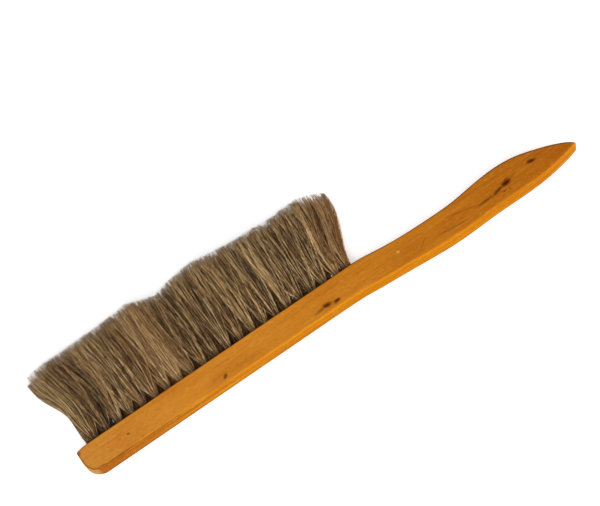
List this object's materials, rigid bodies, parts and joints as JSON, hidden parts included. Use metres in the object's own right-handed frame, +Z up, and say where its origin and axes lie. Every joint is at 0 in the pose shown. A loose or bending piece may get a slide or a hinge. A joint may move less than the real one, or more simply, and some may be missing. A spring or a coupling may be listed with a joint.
{
  "type": "bee brush",
  "caption": "Long one-piece wooden hand brush with a shaped handle and staggered rows of soft natural hair tufts along one edge.",
  "frame": {"origin": "middle of the bounding box, on the lower broad face that the brush lies on", "axes": "+X along the brush from the toe to the handle's tip, +Y the way the hair stands out of the head, +Z up through the thickness of the wood"},
  "size_m": [0.4114, 0.0974, 0.0183],
  "materials": {
    "lacquered_wood": "clear satin lacquer over light hardwood",
    "horsehair": "soft brown and blond natural hair",
    "anchor_wire": "flat drawn wire"
  },
  "bodies": {
    "root": {"wooden_stock": "lacquered_wood", "tuft_upper_01": "horsehair", "tuft_upper_02": "horsehair", "tuft_upper_03": "horsehair", "tuft_upper_04": "horsehair", "tuft_upper_05": "horsehair", "tuft_upper_06": "horsehair", "tuft_upper_07": "horsehair", "tuft_upper_08": "horsehair", "tuft_upper_09": "horsehair", "tuft_upper_10": "horsehair", "tuft_upper_11": "horsehair", "tuft_upper_12": "horsehair", "tuft_upper_13": "horsehair", "tuft_upper_14": "horsehair", "tuft_upper_15": "horsehair", "tuft_upper_16": "horsehair", "tuft_upper_17": "horsehair", "tuft_upper_18": "horsehair", "tuft_upper_19": "horsehair", "tuft_upper_20": "horsehair", "tuft_upper_21": "horsehair", "tuft_upper_22": "horsehair", "tuft_lower_01": "horsehair", "tuft_lower_02": "horsehair", "tuft_lower_03": "horsehair", "tuft_lower_04": "horsehair", "tuft_lower_05": "horsehair", "tuft_lower_06": "horsehair", "tuft_lower_07": "horsehair", "tuft_lower_08": "horsehair", "tuft_lower_09": "horsehair", "tuft_lower_10": "horsehair", "tuft_lower_11": "horsehair", "tuft_lower_12": "horsehair", "tuft_lower_13": "horsehair", "tuft_lower_14": "horsehair", "tuft_lower_15": "horsehair", "tuft_lower_16": "horsehair", "tuft_lower_17": "horsehair", "tuft_lower_18": "horsehair", "tuft_lower_19": "horsehair", "tuft_lower_20": "horsehair", "tuft_lower_21": "horsehair", "tuft_lower_22": "horsehair", "anchor_wires_upper_row": "anchor_wire", "anchor_wires_lower_row": "anchor_wire"}
  },
  "joints": []
}
